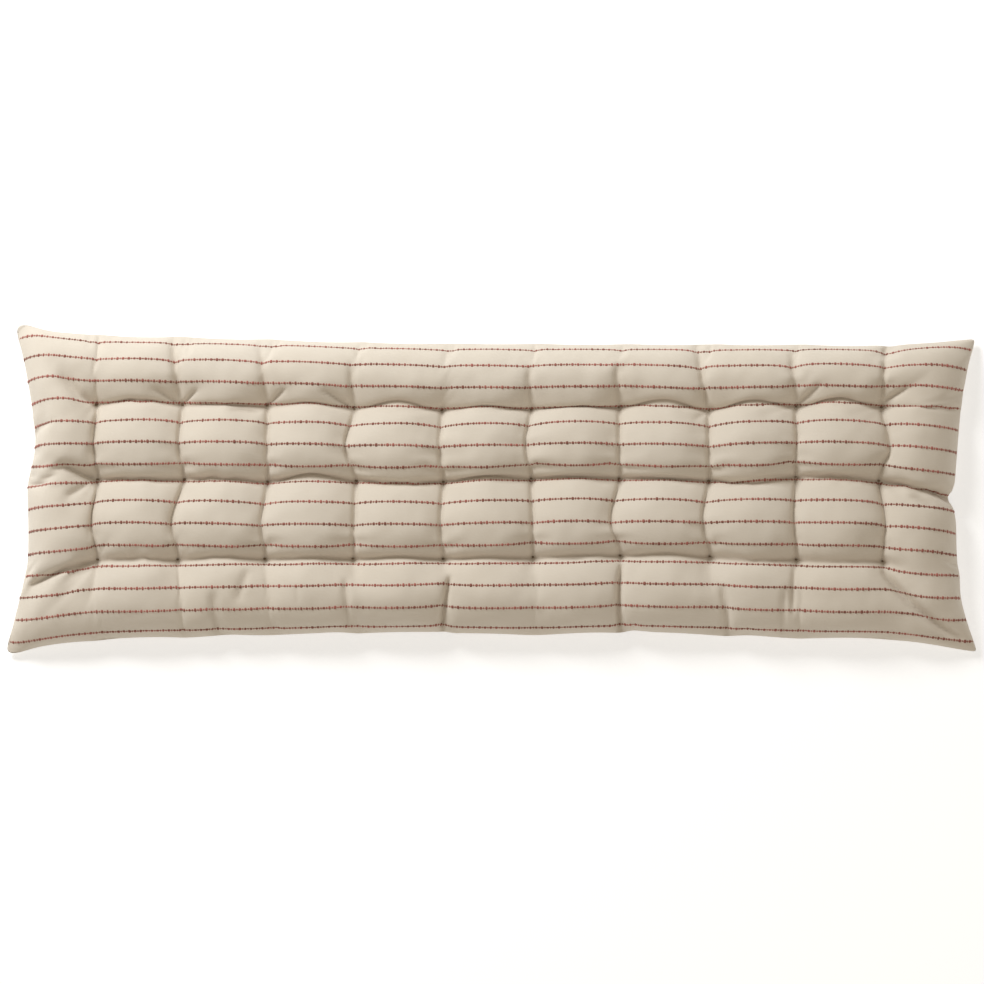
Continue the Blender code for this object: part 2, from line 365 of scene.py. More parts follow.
def pushed_aside(channels, line, along):
    """How far the pads push the cloth aside beside the channels of one way."""
    cell = np.clip(along.astype(int), 0, len(channels[0].bulges) - 1)
    half_way = np.sin(np.pi * (along - cell)) ** 2
    total = np.zeros_like(along)
    for channel in channels:
        near = np.clip(1.0 - 2 * np.abs(line - channel.line), 0.0, 1.0) ** 2
        total += np.array(channel.bulges)[cell] * MM * near * half_way
    return total


def plan(cover):
    """Where the places of the cover lie, seen from above, as an array of x and y."""
    rows = np.stack([catmull_rom(row, cover.columns) for row in tuft_net()])
    place = np.moveaxis(catmull_rom(rows, cover.rows), 0, 1)
    along, across = cover.a, cover.b
    left = -catmull_rom(LEFT_SEAM.away, 2 * across) * MM - place[:1, :, 0]
    right = catmull_rom(RIGHT_SEAM.away, 2 * across) * MM - place[-1:, :, 0]
    left += pucker_depth("left", across, ROW_PITCH)
    right -= pucker_depth("right", across, ROW_PITCH)
    place[..., 0] += fading(along) * left + fading(COLUMNS - along) * right
    place[..., 1] += fading(across) * pucker_depth("front", along, COLUMN_PITCH)
    place[..., 1] -= fading(ROWS - across) * pucker_depth("back", along, COLUMN_PITCH)
    row = np.minimum(across.astype(int), ROWS - 1)
    sunk = np.array(SUNK)[row] * MM
    place[..., 1] -= sunk * np.sin(np.pi * (across - row)) ** 2
    place[..., 0] += pushed_aside(COLUMN_CHANNELS, along, across)
    place[..., 1] += pushed_aside(ROW_CHANNELS, across, along)
    return place


# Cover: thickness before it is filled


def arch(f, half_angle):
    """An arc of a circle over 0 to 1, which is 0 at both ends and 1 in the middle."""
    low = math.cos(half_angle)
    high = np.sqrt(np.maximum(0.0, 1 - (math.sin(half_angle) * (2 * f - 1)) ** 2))
    return (high - low) / (1 - low)


def blend(start, end, f):
    """Goes smoothly from one value to another while f goes from 0 to 1."""
    return start + (end - start) * f * f * (3 - 2 * f)


def on_seam(a, b):
    return (a == 0) | (a == COLUMNS) | (b == 0) | (b == ROWS)


def tuft_thickness(a, b):
    return np.where(on_seam(a, b), 0.0, TUFT_THICKNESS)


def channel_rise(a0, b0, a1, b1):
    """How much thicker a channel is half way along than the mean of its two ends."""
    starts, stops = on_seam(a0, b0), on_seam(a1, b1)
    ends = (tuft_thickness(a0, b0) + tuft_thickness(a1, b1)) / 2
    lengthwise = b0 is b1
    inner = CHANNEL_ALONG if lengthwise else CHANNEL_ACROSS
    outer = CHANNEL_TO_SIDE if lengthwise else CHANNEL_TO_END
    middle = np.where(starts | stops, outer, inner)
    return np.where(starts & stops, 0.0, middle - ends)


def crown(column, row):
    """Thickness in the middle of a cell, a little uneven from one cell to the next."""
    at_end = (column == 0) | (column == COLUMNS - 1)
    at_side = (row == 0) | (row == ROWS - 1)
    full = np.where(at_end | at_side, BORDER_CROWN, CROWN)
    full = np.where(at_end & at_side, CORNER_CROWN, full)
    return full * (1 + UNEVEN_FILLING * np.sin(2.3 * column + 4.1 * row))


def thickness(a, b):
    """Thickness of the cover: crowned cells between channels and tufts."""
    column = np.minimum(a.astype(int), COLUMNS - 1)
    row = np.minimum(b.astype(int), ROWS - 1)
    p, q = a - column, b - row
    across, along = arch(p, ARC_ALONG), arch(q, ARC_ACROSS)
    next_column, next_row = column + 1, row + 1
    near = blend(tuft_thickness(column, row), tuft_thickness(next_column, row), p)
    far = blend(tuft_thickness(column, next_row), tuft_thickness(next_column, next_row), p)
    corners = blend(near, far, q)
    front = channel_rise(column, row, next_column, row)
    back = channel_rise(column, next_row, next_column, next_row)
    left = channel_rise(column, row, column, next_row)
    right = channel_rise(next_column, row, next_column, next_row)
    lengthwise = blend(front, back, q) * np.sin(np.pi * p) * (1 - along)
    crosswise = blend(left, right, p) * np.sin(np.pi * q) * (1 - across)
    filled = corners * (1 - across * along) + crown(column, row) * across * along
    return filled + lengthwise + crosswise


def middle_height(a, b):
    """Height of the middle of the filling, which sinks towards the seams and corners."""
    to_end = fading(np.minimum(a, COLUMNS - a))
    to_side = fading(np.minimum(b, ROWS - b))
    corner = to_end * to_side
    side = to_end + to_side - corner
    return MIDDLE_HEIGHT - SIDE_DROOP * side - (CORNER_DROOP - SIDE_DROOP) * corner


# Cover: mesh


def graded(cells, steps):
    """Places in cells of the mesh lines, closer together beside a channel."""
    line = np.arange(cells * steps + 1) / steps
    return line - GRADING * np.sin(2 * np.pi * line) / (2 * np.pi)


def slide(a, b):
    """How far the cloth at this place has slid on, along the pillow and across it."""
    along = SLIDES * pushed_aside(COLUMN_CHANNELS, a, b)
    return along, SLIDES * pushed_aside(ROW_CHANNELS, b, a)


def flat_cloth(a, b):
    """Where places of the cover lie on the flat cloth, in metres."""
    along, across = slide(a, b)
    u = a / COLUMNS * CLOTH_LENGTH + along
    v = np.interp(b, np.arange(ROWS + 1), ROWS_IN_STRIPES) * STRIPE_PITCH + across
    return u, v


def place_of(u, v):
    """The cells' places a and b of spots that are given on the flat cloth."""
    along, across = 0.0, 0.0
    for _ in range(SLIDE_PASSES):
        a = np.clip((u - along) / CLOTH_LENGTH * COLUMNS, 0.0, COLUMNS)
        steps = (v - across) / STRIPE_PITCH
        b = np.interp(steps, ROWS_IN_STRIPES, np.arange(ROWS + 1))
        along, across = slide(a, b)
    return a, b


class Cover:
    """Two panels of points, one above the other, that share the points of their seam."""

    def __init__(self, steps):
        self.columns, self.rows = graded(COLUMNS, steps), graded(ROWS, steps)
        self.shape = (len(self.columns), len(self.rows))
        self.b, self.a = np.meshgrid(self.rows, self.columns)
        self.cloth = np.stack(flat_cloth(self.a, self.b), -1)
        self.seam = on_seam(self.a, self.b).ravel()
        self.upper_of = np.arange(self.seam.size)
        self.lower_of = self.upper_of.copy()
        self.lower_of[~self.seam] = self.seam.size + np.arange((~self.seam).sum())

    def points(self, upper, lower):
        """The mesh's points from the two panels' arrays of any width."""
        wide = upper.reshape(self.seam.size, -1)
        return np.concatenate([wide, lower.reshape(self.seam.size, -1)[~self.seam]])

    def panels(self, points):
        """The two panels' arrays from the mesh's points."""
        upper, lower = points[self.upper_of], points[self.lower_of]
        return upper.reshape(*self.shape, -1), lower.reshape(*self.shape, -1)

    def mesh(self, name, upper, lower, painted_shade_shares=None):
        index = np.arange(self.seam.size).reshape(self.shape)
        ring = (index[:-1, :-1], index[1:, :-1], index[1:, 1:], index[:-1, 1:])
        quads = np.stack(ring, -1).reshape(-1, 4)
        faces = np.concatenate([quads, self.lower_of[quads][:, ::-1]])
        mesh = bpy.data.meshes.new(name)
        mesh.from_pydata(self.points(upper, lower).tolist(), [], faces.tolist())
        flat = self.points(self.cloth, self.cloth)
        corners = np.empty(len(mesh.loops), np.int32)
        mesh.loops.foreach_get("vertex_index", corners)
        layer = mesh.uv_layers.new(name="cloth")
        layer.data.foreach_set("uv", flat[corners].astype("f4").ravel())
        # Shares of painted shade, standing in for the shadow at the bottoms of channels, creases
        # and tuft pits
        if painted_shade_shares is not None:
            shares = mesh.attributes.new("painted_fold_shade", "FLOAT", "POINT")
            shares.data.foreach_set("value", self.points(*painted_shade_shares)[:, 0].astype("f4"))
        mesh.update()
        mesh.shade_smooth()
        return mesh


def pressed(place, reach=1.0):
    """How deep each place lies in the creases, in metres, and how much of a crease it is."""
    depth, share = np.zeros(place.shape[:2]), np.zeros(place.shape[:2])
    for crease in CREASES:
        start = np.array((crease.x0, crease.y0)) * MM
        run = np.array((crease.x1, crease.y1)) * MM - start
        length = np.hypot(*run)
        away = place[..., :2] - start
        t = away @ run / length**2
        aside = (run[0] * away[..., 1] - run[1] * away[..., 0]) / length
        aside -= 4 * t * (1 - t) * crease.bow * MM
        fades = np.clip(t / CREASE_FADES_IN, 0, 1) * np.clip((1 - t) / CREASE_FADES_OUT, 0, 1)
        here = np.sqrt(fades) * np.exp(-((aside / (crease.width * reach * MM)) ** 2))
        depth = np.maximum(depth, crease.depth * MM * here)
        share = np.maximum(share, here)
    return depth, share


def unfilled(cover):
    """The cover laid out by its tufts, with a loose filling."""
    place = plan(cover)
    half = thickness(cover.a, cover.b) / 2 - pressed(place)[0]
    half = np.where(cover.seam.reshape(cover.shape), 0.0, np.maximum(half, LEAST_HALF))[..., None]
    height = middle_height(cover.a, cover.b)[..., None]
    return (
        np.concatenate([place, height + half], -1),
        np.concatenate([place, height - half], -1),
    )


def cut_cloth(cover):
    """The two panels as they are cut: flat, one just above the other."""
    flat = cover.cloth - np.array((CLOTH_LENGTH, CLOTH_WIDTH)) / 2
    apart = np.where(cover.seam.reshape(cover.shape), 0.0, 1.0 * MM)[..., None]
    upper = np.concatenate([flat, MIDDLE_HEIGHT + apart], -1)
    lower = np.concatenate([flat, MIDDLE_HEIGHT - apart], -1)
    return upper, lower


def beside(line, pitch, reach):
    """1 on the nearest line of tufts, falling smoothly to 0 over this reach."""
    return np.exp(-(((line - np.round(line)) * pitch / reach) ** 2))


def inside(line, cells):
    """0 in the outer cells of one way, rising to 1 just before their line of tufts."""
    from_seam = np.minimum(line, cells - line)
    return np.clip(from_seam - CHANNEL_STARTS, 0, CHANNEL_FADE) / CHANNEL_FADE


def channels(cover, reach):
    """How much of a row's channel and of a column's each place is. The outer pads have none."""
    inner = inside(cover.a, COLUMNS) * inside(cover.b, ROWS)
    in_row = beside(cover.b, ROW_PITCH, reach) * inner
    in_column = beside(cover.a, COLUMN_PITCH, reach) * inner
    return in_row, in_column


def hold(obj, cover, upper):
    """Weights that hold the cover: firmly at the tufts, less at seams, channels and pads."""
    weights = np.full(cover.shape, HELD["pad"])
    for name, share in (
        ("channel", np.maximum(*channels(cover, CHANNEL_REACH))),
        ("crease", pressed(upper)[1]),
    ):
        weights = np.maximum(weights, HELD["pad"] + (HELD[name] - HELD["pad"]) * share)
    on_column, on_row = cover.a == np.round(cover.a), cover.b == np.round(cover.b)
    at_end = (cover.a == 0) | (cover.a == COLUMNS)
    at_side = (cover.b == 0) | (cover.b == ROWS)
    weights = np.where(on_column & on_row, HELD["tuft"], weights)
    weights = np.where(at_end | at_side, HELD["seam"], weights)
    near_end = np.minimum(cover.a, COLUMNS - cover.a) * COLUMN_PITCH
    near_side = np.minimum(cover.b, ROWS - cover.b) * ROW_PITCH
    tip = (near_end + near_side < CORNER_REACH) & (at_end | at_side)
    weights = np.where(tip, HELD["corner"], weights)
    both = np.round(cover.points(weights, weights)[:, 0], 2)
    group = obj.vertex_groups.new(name="held")
    for weight in np.unique(both):
        group.add(np.where(both == weight)[0].tolist(), float(weight), "REPLACE")
    return group.name


def cotton_cloth(settings):
    """Stiffness and damping of a light plain-woven cotton."""
    settings.quality = 6
    settings.mass = 0.3
    settings.tension_stiffness = 15.0
    settings.compression_stiffness = 15.0
    settings.shear_stiffness = 5.0
    settings.bending_stiffness = 2.0
    settings.tension_damping = 5.0
    settings.compression_damping = 5.0
    settings.shear_damping = 5.0
    settings.bending_damping = 0.5


def settle(obj, frames):
    """Steps the cloth to its last frame and reads its points."""
    scene = bpy.context.scene
    scene.frame_start, scene.frame_end = 1, frames
    for frame_number in range(1, frames + 1):
        scene.frame_set(frame_number)
    settled = obj.evaluated_get(bpy.context.evaluated_depsgraph_get())
    mesh = settled.to_mesh()
    points = np.empty(len(mesh.vertices) * 3, np.float32)
    mesh.vertices.foreach_get("co", points)
    settled.to_mesh_clear()
    scene.frame_set(1)
    return points.reshape(-1, 3).astype(float)


def fill(cover, upper, lower):
    """Fills the sewn cover: its cloth keeps the size that it was cut to, and wrinkles."""
    mesh = cover.mesh("unfilled_cover", upper, lower)
    obj = bpy.data.objects.new("unfilled_cover", mesh)
    bpy.context.scene.collection.objects.link(obj)
    obj.shape_key_add(name="laid out")
    cut = obj.shape_key_add(name="as cut")
    cut.data.foreach_set("co", cover.points(*cut_cloth(cover)).astype("f4").ravel())
    cut.value = 0.0
    # The cloth only takes its resting size from a shape key when a modifier comes before it
    obj.modifiers.new("before cloth", "UV_WARP")
    cloth = obj.modifiers.new("cloth", "CLOTH")
    settings = cloth.settings
    cotton_cloth(settings)
    settings.vertex_group_mass = hold(obj, cover, upper)
    settings.pin_stiffness = 1.0
    settings.use_pressure = True
    settings.uniform_pressure_force = FILLING_PRESSURE
    settings.rest_shape_key = cut
    bpy.context.scene.gravity = (0.0, -SIDEWAYS_PULL, 0.0)
    cloth.collision_settings.use_collision = False
    cloth.collision_settings.use_self_collision = False
    cloth.point_cache.frame_start = 1
    cloth.point_cache.frame_end = FILLING_FRAMES
    filled = cover.panels(settle(obj, FILLING_FRAMES))
    bpy.data.objects.remove(obj)
    bpy.data.meshes.remove(mesh)
    return filled


def even_edge(edge):
    """Smooths the gathers out of one edge of a panel, which keeps its two ends."""
    for _ in range(SEAM_SMOOTHING):
        edge[1:-1] = (edge[:-2] + 2 * edge[1:-1] + edge[2:]) / 4


def eased(panel):
    """Smooths the smallest kinks out of a panel, and leaves its corners and tufts alone."""
    for edge in (panel[0], panel[-1], panel[:, 0], panel[:, -1]):
        even_edge(edge)
    for i, beside_i in ((0, 1), (-1, -2)):
        for j, beside_j in ((0, 1), (-1, -2)):
            neighbours = panel[beside_i, j] + panel[i, beside_j]
            panel[i, j] = CORNER_KEEPS * panel[i, j] + (1 - CORNER_KEEPS) / 2 * neighbours
    for _ in range(SMOOTHING):
        soft = panel.copy()
        soft[1:-1] = (panel[:-2] + 2 * panel[1:-1] + panel[2:]) / 4
        soft[:, 1:-1] = (soft[:, :-2] + 2 * soft[:, 1:-1] + soft[:, 2:]) / 4
        soft[0], soft[-1], soft[:, 0], soft[:, -1] = panel[0], panel[-1], panel[:, 0], panel[:, -1]
        soft[::STEPS, ::STEPS] = panel[::STEPS, ::STEPS]
        panel = (panel + soft) / 2
    return panel


def finer(panel):
    """The same panel with more lines, on smooth curves through the old ones."""
    for axis in (0, 1):
        panel = np.moveaxis(panel, axis, 0)
        places = np.arange((len(panel) - 1) * FINER + 1) / FINER
        panel = np.moveaxis(catmull_rom(panel, places), 0, axis)
    return panel


def sharpen(cover, panel, side, room):
    """Draws in the bottoms of the channels, tufts and creases of a panel, as far as there is room.

    Returns how much painted shade each place takes, in place of the shadow at the bottoms of
    channels, creases and tuft pits: 1 in a row's channel, more at a tuft.
    """
    away_a = (cover.a - np.round(cover.a)) * COLUMN_PITCH
    away_b = (cover.b - np.round(cover.b)) * ROW_PITCH
    inner_a = (cover.a > 0.5) & (cover.a < COLUMNS - 0.5)
    inner_b = (cover.b > 0.5) & (cover.b < ROWS - 0.5)
    tuft = inner_a * inner_b * np.exp(-np.hypot(away_a, away_b) / TUFT_BITE_REACH)
    row_bite = ROW_BITE * channels(cover, ROW_BITE_REACH)[0]
    column_bite = COLUMN_BITE * channels(cover, COLUMN_BITE_REACH)[1]
    crease_bite = CREASE_BITE * pressed(panel, CREASE_BITE_REACH)[0]
    bite = np.maximum(np.maximum(row_bite, column_bite) + TUFT_BITE * tuft, crease_bite)
    # Painted shade: shares by which the cotton's colour is darkened at these bottoms, in place of
    # their shadow
    in_row, in_column = channels(cover, PAINTED_SHADE_REACH)
    in_crease = pressed(panel, CREASE_PAINTED_SHADE_REACH)[1]
    painted_shade_shares = np.maximum(in_row, np.maximum(COLUMN_PAINTED_SHADE * in_column, CREASE_PAINTED_SHADE * in_crease))
    panel[..., 2] -= side * np.minimum(bite, room)
    return np.maximum(painted_shade_shares, TUFT_PAINTED_SHADE * tuft**2)


def wrinkle(cover, panel, side):
    """Adds the shallow dents and wrinkles of a loose cotton cover."""
    for layer in WRINKLES:
        spots = panel[..., :2] * (layer.along, layer.across)
        dents = [noise.noise((x, y, 7.0 * side)) for x, y in spots.reshape(-1, 2)]
        dents = np.array(dents).reshape(cover.shape) * layer.depth * MM
        panel[..., 2] += side * dents * ~cover.seam.reshape(cover.shape)


def rest_on_floor(panel):
    """Flattens what hangs below the floor, with a soft bend into the flat."""
    height = panel[..., 2]
    band = 2 * FLATTENED_OVER
    bend = np.clip(height + band, 0.0, None) ** 2 / (4 * band)
    panel[..., 2] = np.where(height < band, bend, height)


# Materials


def node(tree, kind, inputs=(), **settings):
    """Adds a node, sets its properties, and sets or links its inputs by place or name."""
    made = tree.nodes.new(kind)
    for name, value in settings.items():
        setattr(made, name, value)
    for name, value in dict(inputs).items():
        if isinstance(value, bpy.types.NodeSocket):
            tree.links.new(value, made.inputs[name])
        else:
            made.inputs[name].default_value = value
    return made


def math_node(tree, operation, *values):
    return node(tree, "ShaderNodeMath", enumerate(values), operation=operation).outputs[0]


def mixed(tree, amount, start, end):
    """A colour between two others."""
    inputs = {0: amount, 6: start, 7: end}
    return node(tree, "ShaderNodeMix", inputs, data_type="RGBA").outputs[2]


def new_material(name):
    material = bpy.data.materials.new(name)
    material.use_nodes = True
    return material, material.node_tree, material.node_tree.nodes["Principled BSDF"]


def natural_cotton():
    """Off-white plain weave: slubs along the yarns, a stain of colour under each stripe, and
    painted shade that darkens the bottoms of channels, creases and tuft pits.
    """
    material, tree, shader = new_material("natural cotton")
    cloth = node(tree, "ShaderNodeUVMap", uv_map="cloth").outputs[0]
    parts = node(tree, "ShaderNodeSeparateXYZ", {0: cloth}).outputs
    u, v = parts[0], parts[1]
    place = node(tree, "ShaderNodeTexCoord").outputs["Object"]
    cloud = node(tree, "ShaderNodeTexNoise", {"Vector": place, "Scale": 9.0, "Detail": 3.0})
    stretched = node(tree, "ShaderNodeMapping", {0: cloth, 3: (60.0, 900.0, 1.0)}).outputs[0]
    slubs = node(tree, "ShaderNodeTexNoise", {"Vector": stretched, "Scale": 1.0})
    shade = math_node(tree, "MULTIPLY_ADD", slubs.outputs[0], 0.5, 0.0)
    shade = math_node(tree, "MULTIPLY_ADD", cloud.outputs[0], 0.5, shade)
    ground = mixed(tree, shade, COTTON_DARK, COTTON_LIGHT)
    steps = math_node(tree, "MULTIPLY_ADD", v, 1 / STRIPE_PITCH, 0.5 - FIRST_STRIPE)
    part_step = math_node(tree, "FRACT", steps)
    away = math_node(tree, "ABSOLUTE", math_node(tree, "SUBTRACT", part_step, 0.5))
    faded = math_node(tree, "MULTIPLY", away, STAIN_FADES)
    near = math_node(tree, "MAXIMUM", math_node(tree, "SUBTRACT", 1.0, faded), 0.0)
    stain = math_node(tree, "MULTIPLY", near, STAIN_COVERS)
    stained = mixed(tree, stain, ground, STRIPE_STAIN)
    # Painted shade: the cotton is darkened toward a deep brown by the shares kept on the mesh,
    # standing in for the shadow at the bottoms of channels, creases and tuft pits
    painted_fold_shade = node(tree, "ShaderNodeAttribute", attribute_name="painted_fold_shade").outputs["Fac"]
    deep = math_node(tree, "MULTIPLY", painted_fold_shade, PAINTED_SHADE_COVERS)
    tree.links.new(mixed(tree, deep, stained, PAINTED_FOLD_SHADE), shader.inputs["Base Color"])
    warp = math_node(tree, "SINE", math_node(tree, "MULTIPLY", u, 2 * math.pi / WEAVE_PITCH))
    weft = math_node(tree, "SINE", math_node(tree, "MULTIPLY", v, 2 * math.pi / WEAVE_PITCH))
    weave = math_node(tree, "MULTIPLY", warp, weft)
    rough = math_node(tree, "MULTIPLY_ADD", slubs.outputs[0], 1.5, weave)
    inputs = {"Height": rough, "Strength": 0.25, "Distance": 0.00015}
    bump = node(tree, "ShaderNodeBump", inputs).outputs[0]
    tree.links.new(bump, shader.inputs["Normal"])
    shader.inputs["Roughness"].default_value = 0.92
    shader.inputs["Specular IOR Level"].default_value = 0.25
    shader.inputs["Sheen Weight"].default_value = 0.25
    shader.inputs["Sheen Roughness"].default_value = 0.5
    return material


def stripe_yarn(name, light, dark):
    """Yarn that was dyed unevenly, so that its colour changes along the stripe."""
    material, tree, shader = new_material(name)
    place = node(tree, "ShaderNodeTexCoord").outputs["Object"]
    patches = node(tree, "ShaderNodeTexNoise", {"Vector": place, "Scale": 26.0, "Detail": 1.0})
    turn = node(tree, "ShaderNodeTexNoise", {"Vector": place, "Scale": 170.0, "Detail": 0.0})
    sharp = node(tree, "ShaderNodeMapRange", {0: patches.outputs[0], 1: 0.38, 2: 0.62})
    amount = math_node(tree, "MULTIPLY_ADD", turn.outputs[0], 0.5, sharp.outputs[0])
    amount = math_node(tree, "MULTIPLY", amount, 0.67)
    tree.links.new(mixed(tree, amount, dark, light), shader.inputs["Base Color"])
    shader.inputs["Roughness"].default_value = 0.85
    shader.inputs["Specular IOR Level"].default_value = 0.25
    shader.inputs["Sheen Weight"].default_value = 0.2
    return material


def stitch_thread():
    """Natural thread painted dark, as painted shade for the pit that it lies in."""
    material, tree, shader = new_material("natural stitch thread")
    place = node(tree, "ShaderNodeTexCoord").outputs["Object"]
    strands = node(tree, "ShaderNodeTexNoise", {"Vector": place, "Scale": 900.0})
    colour = mixed(tree, strands.outputs[0], PIT_SHADED_THREAD_DARK, PIT_SHADED_THREAD_LIGHT)
    tree.links.new(colour, shader.inputs["Base Color"])
    shader.inputs["Roughness"].default_value = 0.8
    return material


def white_floor():
    """A near-white floor that glows a little, so that it stays bright beside the pillow."""
    material, tree, shader = new_material("white floor")
    shader.inputs["Base Color"].default_value = (0.93, 0.93, 0.93, 1.0)
    shader.inputs["Roughness"].default_value = 0.9
    shader.inputs["Specular IOR Level"].default_value = 0.0
    shader.inputs["Emission Color"].default_value = (0.92, 0.96, 1.0, 1.0)
    shader.inputs["Emission Strength"].default_value = 0.42
    return material


# Yarns and stitches on the cloth


def cloth_place(cover, panel, side, u, v):
    """Place, direction along u and outward normal of spots of one panel, given on the cloth."""
    a, b = place_of(u, v)
    i = np.interp(a, cover.columns, np.arange(len(cover.columns)))
    j = np.interp(b, cover.rows, np.arange(len(cover.rows)))
    i0 = np.minimum(i.astype(int), len(cover.columns) - 2)
    j0 = np.minimum(j.astype(int), len(cover.rows) - 2)
    f, g = (i - i0)[:, None], (j - j0)[:, None]
    p00, p10 = panel[i0, j0], panel[i0 + 1, j0]
    p01, p11 = panel[i0, j0 + 1], panel[i0 + 1, j0 + 1]
    along = (p10 - p00) * (1 - g) + (p11 - p01) * g
    across = (p01 - p00) * (1 - f) + (p11 - p10) * f
    out = side * np.cross(along, across)
    along /= np.linalg.norm(along, axis=1)[:, None]
    out /= np.linalg.norm(out, axis=1)[:, None]
    place = (p00 * (1 - f) + p10 * f) * (1 - g) + (p01 * (1 - f) + p11 * f) * g
    return place, along, out


def marked_points(name, place, along, out, size):
    """A mesh of loose points that carry the direction, normal and size of a stitch each."""
    mesh = bpy.data.meshes.new(name)
    mesh.from_pydata(place.tolist(), [], [])
    for label, values in (("along", along), ("out", out), ("size", size)):
        layer = mesh.attributes.new(label, "FLOAT_VECTOR", "POINT")
        layer.data.foreach_set("vector", values.astype("f4").ravel())
    obj = bpy.data.objects.new(name, mesh)
    bpy.context.scene.collection.objects.link(obj)
    return obj


def stitch_tree():
    """Puts a rounded stitch of the point's size on each point, turned along the cloth."""
    tree = bpy.data.node_groups.new("rounded stitches", "GeometryNodeTree")
    face = tree.interface
    face.new_socket("Points", in_out="INPUT", socket_type="NodeSocketGeometry")
    for name in ("Segments", "Rings", "Seed"):
        face.new_socket(name, in_out="INPUT", socket_type="NodeSocketInt")
    face.new_socket("Uneven", in_out="INPUT", socket_type="NodeSocketFloat")
    face.new_socket("Material", in_out="INPUT", socket_type="NodeSocketMaterial")
    face.new_socket("Stitches", in_out="OUTPUT", socket_type="NodeSocketGeometry")
    start = node(tree, "NodeGroupInput").outputs

    def attribute(name):
        kind = "GeometryNodeInputNamedAttribute"
        return node(tree, kind, {0: name}, data_type="FLOAT_VECTOR").outputs[0]

    ball_inputs = {"Segments": start["Segments"], "Rings": start["Rings"], "Radius": 0.5}
    ball = node(tree, "GeometryNodeMeshUVSphere", ball_inputs)
    smooth = node(tree, "GeometryNodeSetShadeSmooth", {0: ball.outputs[0]})
    turn_inputs = {"Primary Axis": attribute("out"), "Secondary Axis": attribute("along")}
    turn_kind = "FunctionNodeAxesToRotation"
    turn = node(tree, turn_kind, turn_inputs, primary_axis="Z", secondary_axis="X")
    low = math_node(tree, "SUBTRACT", 1.0, start["Uneven"])
    high = math_node(tree, "ADD", 1.0, start["Uneven"])
    random = node(tree, "FunctionNodeRandomValue", data_type="FLOAT_VECTOR")
    for place, value in ((0, low), (1, high)):
        tree.links.new(value, random.inputs[place])
    tree.links.new(start["Seed"], random.inputs["Seed"])
    scale_inputs = {0: attribute("size"), 1: random.outputs[0]}
    scale = node(tree, "ShaderNodeVectorMath", scale_inputs, operation="MULTIPLY")
    copies_inputs = {
        "Points": start["Points"],
        "Instance": smooth.outputs[0],
        "Rotation": turn.outputs[0],
        "Scale": scale.outputs[0],
    }
    copies = node(tree, "GeometryNodeInstanceOnPoints", copies_inputs)
    real = node(tree, "GeometryNodeRealizeInstances", {0: copies.outputs[0]})
    finish_inputs = {0: real.outputs[0], "Material": start["Material"]}
    finish = node(tree, "GeometryNodeSetMaterial", finish_inputs)
    end = node(tree, "NodeGroupOutput")
    tree.links.new(finish.outputs[0], end.inputs[0])
    return tree


def sew(tree, obj, material, **inputs):
    """Runs the stitch tree on the points and keeps its result as a plain mesh."""
    modifier = obj.modifiers.new("stitches", "NODES")
    modifier.node_group = tree
    sockets = {item.name: item.identifier for item in tree.interface.items_tree}
    for name, value in inputs.items():
        modifier[sockets[name]] = value
    modifier[sockets["Material"]] = material
    evaluated = obj.evaluated_get(bpy.context.evaluated_depsgraph_get())
    mesh = bpy.data.meshes.new_from_object(evaluated)
    obj.modifiers.clear()
    points = obj.data
    obj.data = mesh
    mesh.name = obj.name
    bpy.data.meshes.remove(points)
    return obj


def ribbon(name, cover, panel, side, material):
    """One flattened yarn along each stripe, with a rounded outer side."""
    verts, faces = [], []
    u = np.linspace(YARN_MARGIN, CLOTH_LENGTH - YARN_MARGIN, YARN_PLACES)
    section = ((-0.5, 0.0), (-0.28, 0.8), (0.28, 0.8), (0.5, 0.0), (0.0, -0.6))
    for stripe in range(STRIPES):
        v = np.full_like(u, (FIRST_STRIPE + stripe) * STRIPE_PITCH)
        place, along, out = cloth_place(cover, panel, side, u, v)
        across = np.cross(out, along)
        for y, z in section:
            verts.append(place + across * (y * YARN_WIDTH) + out * (z * YARN_HEIGHT))
        count, sides = len(u), len(section)
        start = stripe * count * sides
        for k in range(sides):
            low, high = start + k * count, start + (k + 1) % sides * count
            steps = np.arange(count - 1)
            ring = (low + steps, low + steps + 1, high + steps + 1, high + steps)
            faces += np.stack(ring, -1)[:, ::-1].tolist()
        faces.append([start + k * count for k in range(sides)])
        faces.append([start + k * count + count - 1 for k in reversed(range(sides))])
    mesh = bpy.data.meshes.new(name)
    mesh.from_pydata(np.concatenate(verts).tolist(), [], faces)
    mesh.update()
    mesh.shade_smooth()
    mesh.materials.append(material)
    obj = bpy.data.objects.new(name, mesh)
    bpy.context.scene.collection.objects.link(obj)
    return obj


def stripe_knots(tree, name, cover, panel, side, offset, size, material, seed):
    """The small knots of every woven stripe of one panel, at an even step."""
    places, alongs, outs = [], [], []
    for stripe in range(STRIPES):
        shift = (stripe * KNOT_SHIFT) % 1.0
        u = np.arange(shift + offset, CLOTH_LENGTH / KNOT_STEP - 0.4) * KNOT_STEP
        u = u[u > KNOT_MARGIN]
        v = np.full_like(u, (FIRST_STRIPE + stripe) * STRIPE_PITCH)
        place, along, out = cloth_place(cover, panel, side, u, v)
        places.append(place)
        alongs.append(along)
        outs.append(out)
    place, along, out = (np.concatenate(x) for x in (places, alongs, outs))
    sizes = np.tile(np.array(size), (len(place), 1))
    obj = marked_points(name, place, along, out, sizes)
    return sew(tree, obj, material, Segments=6, Rings=4, Seed=seed, Uneven=0.22)


